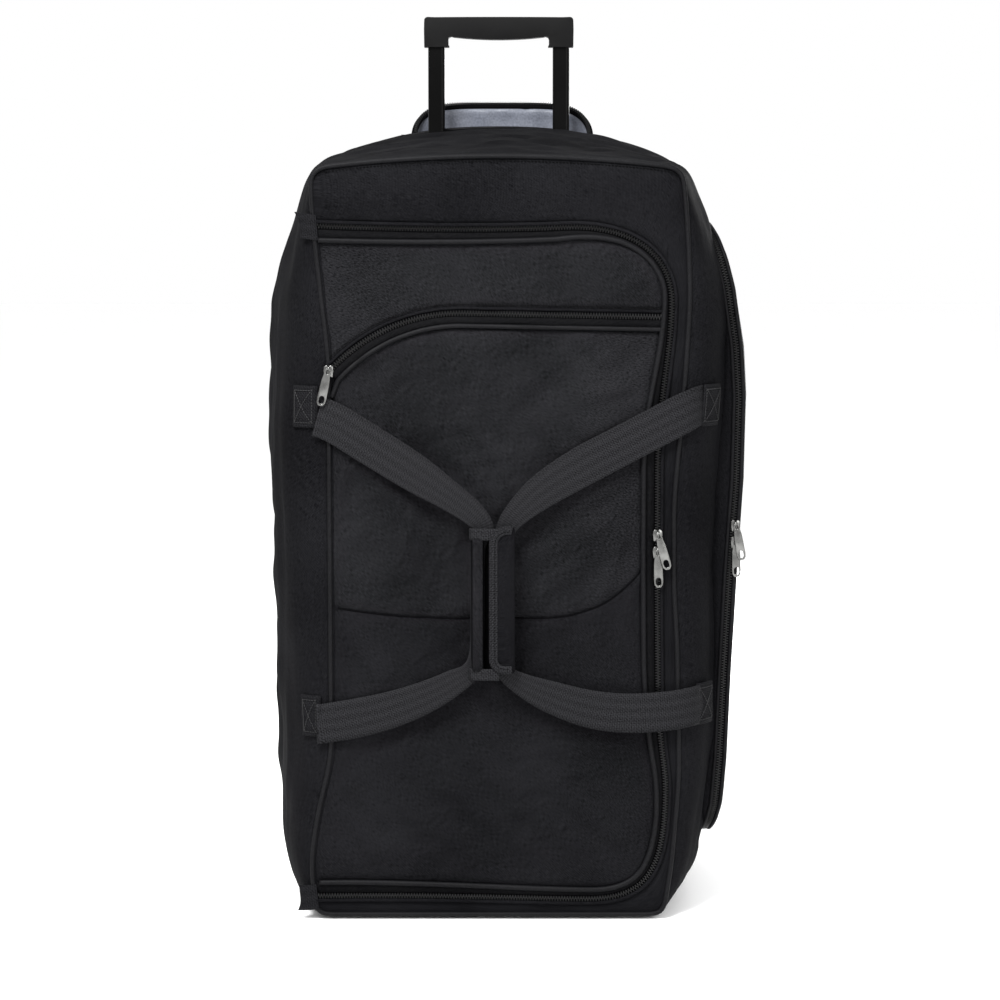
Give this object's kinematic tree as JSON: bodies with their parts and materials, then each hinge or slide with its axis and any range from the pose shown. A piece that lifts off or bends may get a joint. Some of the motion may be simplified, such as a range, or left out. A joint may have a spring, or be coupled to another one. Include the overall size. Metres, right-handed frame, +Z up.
{
  "type": "rolling duffel bag",
  "caption": "Large soft rolling duffel with a U-zip lid and lid pocket, joined carry handles, a zipped side pocket, pull-out trolley grip, rear hood and wheels.",
  "frame": {"origin": "centre of the footprint, on the floor", "axes": "+Z up, X across the bag with the side pocket on +X, +Y toward the trolley and wheels"},
  "size_m": [0.5294, 0.411, 0.9705],
  "materials": {
    "shell_fabric": "woven charcoal polyester",
    "base_fabric": "plain dark polyester",
    "lining": "satin grey lining",
    "board": "stiffener board",
    "moulded_plastic": "moulded black plastic",
    "piping": "black piping",
    "zip_tape": "black zip chain and tape",
    "webbing": "ribbed webbing",
    "tube_aluminium": "extruded tube",
    "tube_black": "satin black",
    "steel": "bright steel",
    "grip_plastic": "fine grained black",
    "tyre_rubber": "matt black",
    "nickel": "bright nickel"
  },
  "bodies": {
    "bag_body": {"left_side_panel": "shell_fabric", "right_side_panel": "shell_fabric", "top_panel": "shell_fabric", "bottom_panel": "base_fabric", "back_panel": "base_fabric", "interior_lining": "lining", "back_board": "board", "base_board": "board", "foot_rail": "moulded_plastic", "front_frame": "shell_fabric", "front_seam_piping": "piping", "main_zip": "zip_tape", "zip_tab_upper": "webbing", "zip_tab_lower": "webbing", "strap_patch_left_upper": "webbing", "strap_patch_left_lower": "webbing", "strap_patch_right_upper": "webbing", "strap_patch_right_lower": "webbing", "outer_tube_left": "tube_aluminium", "outer_tube_right": "tube_aluminium", "trolley_bezel": "moulded_plastic", "trolley_bracket": "moulded_plastic", "wheel_housing_left": "moulded_plastic", "wheel_housing_right": "moulded_plastic", "axle_left": "steel", "axle_right": "steel", "side_pocket_gusset": "shell_fabric", "side_pocket_zip": "zip_tape"},
    "lid": {"lid_upper_panel": "shell_fabric", "lid_pocket_panel": "shell_fabric", "lid_lower_panel": "shell_fabric", "lid_lining": "lining", "lid_piping": "piping", "lid_pocket_zip": "zip_tape"},
    "left_handle": {"left_handle_webbing": "webbing"},
    "right_handle": {"right_handle_webbing": "webbing", "grip_wrap": "shell_fabric"},
    "side_pocket_door": {"side_pocket_cover": "shell_fabric"},
    "hood": {"hood_flap": "shell_fabric", "hood_zip": "zip_tape"},
    "trolley": {"inner_tube_left": "tube_black", "inner_tube_right": "tube_black", "trolley_grip": "grip_plastic"},
    "button": {"push_button": "grip_plastic", "lock_rod_left": "steel", "lock_rod_right": "steel"},
    "wheel_left": {"tyre_left": "tyre_rubber", "wheel_hub_left": "moulded_plastic"},
    "wheel_right": {"tyre_right": "tyre_rubber", "wheel_hub_right": "moulded_plastic"},
    "main_upper_runner": {"main_upper_slider": "nickel"},
    "main_upper_tab": {"main_upper_pull": "nickel"},
    "main_lower_runner": {"main_lower_slider": "nickel"},
    "main_lower_tab": {"main_lower_pull": "nickel"},
    "lid_pocket_runner": {"lid_pocket_slider": "nickel"},
    "lid_pocket_tab": {"lid_pocket_pull": "nickel"},
    "side_upper_runner": {"side_upper_slider": "nickel"},
    "side_upper_tab": {"side_upper_pull": "nickel"},
    "side_lower_runner": {"side_lower_slider": "nickel"},
    "side_lower_tab": {"side_lower_pull": "nickel"}
  },
  "joints": [
    {"name": "lid_open", "type": "hinge", "parent": "bag_body", "child": "lid", "pos_m": [-0.19734, -0.1785, 0.38], "axis": [0, 0, -1], "range_deg": [0, 135]},
    {"name": "left_handle_swing", "type": "hinge", "parent": "bag_body", "child": "left_handle", "pos_m": [-0.19734, -0.1785, 0.38], "axis": [0, 0, -1], "range_deg": [0, 135], "deforming": ["left_handle_webbing"]},
    {"name": "right_handle_swing", "type": "hinge", "parent": "bag_body", "child": "right_handle", "pos_m": [0.19566, -0.1785, 0.38], "axis": [0, 0, 1], "range_deg": [0, 180], "deforming": ["right_handle_webbing", "grip_wrap"]},
    {"name": "main_upper_slide", "type": "slide", "parent": "bag_body", "child": "main_upper_runner", "axis": [0, 0, 1], "range_m": [0, 0.07]},
    {"name": "main_lower_slide", "type": "slide", "parent": "bag_body", "child": "main_lower_runner", "axis": [0, 0, 1], "range_m": [-0.15, 0]},
    {"name": "main_upper_pull_swing", "type": "hinge", "parent": "main_upper_runner", "child": "main_upper_tab", "pos_m": [0.15966, -0.183, 0.413], "axis": [-1, 0, 0], "range_deg": [0, 120]},
    {"name": "main_lower_pull_swing", "type": "hinge", "parent": "main_lower_runner", "child": "main_lower_tab", "pos_m": [0.15966, -0.1804, 0.395], "axis": [-1, 0, 0], "range_deg": [0, 120]},
    {"name": "lid_pocket_slide", "type": "hinge", "parent": "lid", "child": "lid_pocket_runner", "pos_m": [-0.04734, -0.1775, 0.459], "axis": [0, 1, 0], "range_deg": [0, 42]},
    {"name": "lid_pocket_pull_swing", "type": "hinge", "parent": "lid_pocket_runner", "child": "lid_pocket_tab", "pos_m": [-0.18504, -0.1814, 0.5855], "axis": [-1, 0, 0], "range_deg": [0, 120]},
    {"name": "side_upper_slide", "type": "slide", "parent": "bag_body", "child": "side_upper_runner", "axis": [0, 0, 1], "range_m": [0, 0.2]},
    {"name": "side_lower_slide", "type": "slide", "parent": "bag_body", "child": "side_lower_runner", "axis": [0, 0, 1], "range_m": [-0.2, 0]},
    {"name": "side_upper_pull_swing", "type": "hinge", "parent": "side_upper_runner", "child": "side_upper_tab", "pos_m": [0.24666, -0.115, 0.416], "axis": [-1, 0, 0], "range_deg": [0, 120]},
    {"name": "side_lower_pull_swing", "type": "hinge", "parent": "side_lower_runner", "child": "side_lower_tab", "pos_m": [0.24666, -0.1124, 0.398], "axis": [-1, 0, 0], "range_deg": [0, 120]},
    {"name": "side_pocket_open", "type": "hinge", "parent": "bag_body", "child": "side_pocket_door", "pos_m": [0.25386, 0.1267, 0.409], "axis": [0, 0, 1], "range_deg": [0, 100]},
    {"name": "hood_fold", "type": "hinge", "parent": "bag_body", "child": "hood", "pos_m": [-0.00734, 0.2065, 0.785], "axis": [-1, 0, 0], "range_deg": [0, 150]},
    {"name": "trolley_slide", "type": "slide", "parent": "bag_body", "child": "trolley", "axis": [0, 0, 1], "range_m": [-0.095, 0.2]},
    {"name": "button_press", "type": "slide", "parent": "trolley", "child": "button", "axis": [0, 0, -1], "range_m": [0, 0.0035], "stiffness_N_per_m": 900, "springref_m": -0.003},
    {"name": "wheel_spin_left", "type": "hinge", "parent": "bag_body", "child": "wheel_left", "pos_m": [-0.15934, 0.1525, 0.035], "axis": [1, 0, 0], "continuous": true},
    {"name": "wheel_spin_right", "type": "hinge", "parent": "bag_body", "child": "wheel_right", "pos_m": [0.14466, 0.1525, 0.035], "axis": [1, 0, 0], "continuous": true}
  ],
  "couplings": [
    {"joint": "left_handle_swing", "follows": "lid_open", "ratio": 1},
    {"joint": "right_handle_swing", "follows": "lid_open", "ratio": 1.3333},
    {"joint": "main_upper_pull_swing", "follows": "main_lower_pull_swing", "ratio": 1},
    {"joint": "side_upper_pull_swing", "follows": "side_lower_pull_swing", "ratio": 1}
  ]
}
